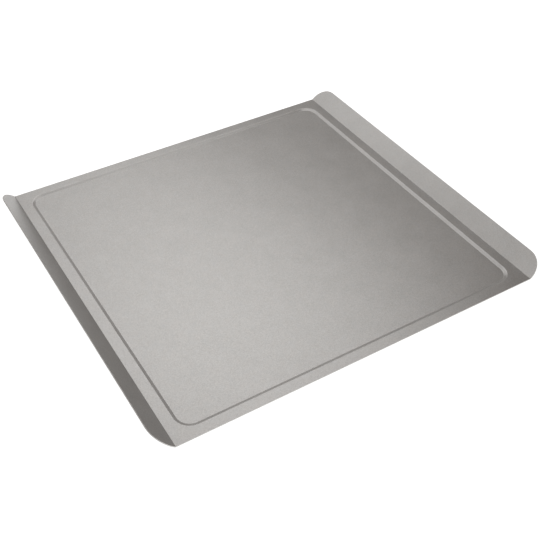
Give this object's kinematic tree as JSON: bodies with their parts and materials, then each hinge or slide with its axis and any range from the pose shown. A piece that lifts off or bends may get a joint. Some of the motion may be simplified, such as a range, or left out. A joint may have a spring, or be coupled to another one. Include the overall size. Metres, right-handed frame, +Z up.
{
  "type": "cookie sheet",
  "caption": "Flat cookie sheet with a shallow recessed baking area, open front and back edges and a flared flange along each side.",
  "frame": {"origin": "on the surface that the sheet stands on, under the middle of the panel", "axes": "+X from the left flange to the right flange, +Y along the flanges from the front edge to the back edge, +Z up"},
  "size_m": [0.408, 0.377, 0.0164],
  "materials": {
    "bare_steel": "satin",
    "baking_side_coat": "satin",
    "underside_coat": "satin"
  },
  "bodies": {
    "root": {"steel_sheet": "bare_steel", "baking_side_coating": "baking_side_coat", "underside_coating": "underside_coat"}
  },
  "joints": []
}
